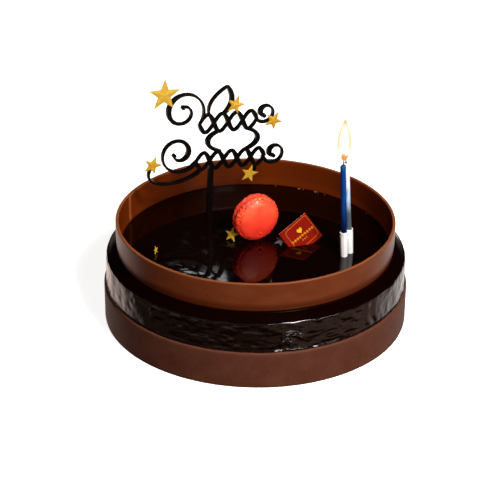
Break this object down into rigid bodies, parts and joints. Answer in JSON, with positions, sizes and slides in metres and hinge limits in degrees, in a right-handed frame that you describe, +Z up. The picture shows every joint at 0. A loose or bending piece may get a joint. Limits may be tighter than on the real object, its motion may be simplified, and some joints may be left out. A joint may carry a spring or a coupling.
{
  "type": "chocolate ice cream cake",
  "caption": "Round glazed chocolate ice cream cake with a thin raised chocolate collar, a macaron, a small card, candles in holders and a scrollwork topper with stars.",
  "frame": {"origin": "centre of the flat underside of the cake", "axes": "+Z up; the side shown in the picture faces -Y, so +X is to the viewer's right"},
  "size_m": [0.24, 0.24, 0.1846],
  "materials": {
    "dark_glaze": "mirror-smooth dark chocolate glaze",
    "brown_band": "matte cocoa-brown coating with fine pale specks",
    "chocolate_collar": "satin chocolate",
    "macaron_shell": "matte baked red meringue shell",
    "macaron_filling": "matte cream filling",
    "red_card": "satin printed card",
    "white_holder": "satin white plastic",
    "blue_wax": "satin blue wax",
    "white_wax": "satin white wax",
    "wick": "charred cotton",
    "black_topper": "black acrylic with a cut edge",
    "gold_star": "metallic gold foil on plastic",
    "grey_star": "metallic grey foil on plastic"
  },
  "bodies": {
    "root": {"cake_body": "dark_glaze", "base_band": "brown_band", "collar": "chocolate_collar", "macaron_front_shell": "macaron_shell", "macaron_back_shell": "macaron_shell", "macaron_filling": "macaron_filling", "label_card": "red_card", "candle_holder_blue": "white_holder", "candle_holder_white": "white_holder", "candle_blue": "blue_wax", "candle_white": "white_wax", "wick_blue": "wick", "wick_white": "wick", "topper": "black_topper", "topper_star_1": "gold_star", "topper_star_2": "gold_star", "topper_star_3": "gold_star", "topper_star_4": "gold_star", "topper_star_5": "gold_star", "glaze_star_gold": "gold_star", "glaze_star_small": "gold_star", "glaze_star_silver": "grey_star"}
  },
  "joints": []
}
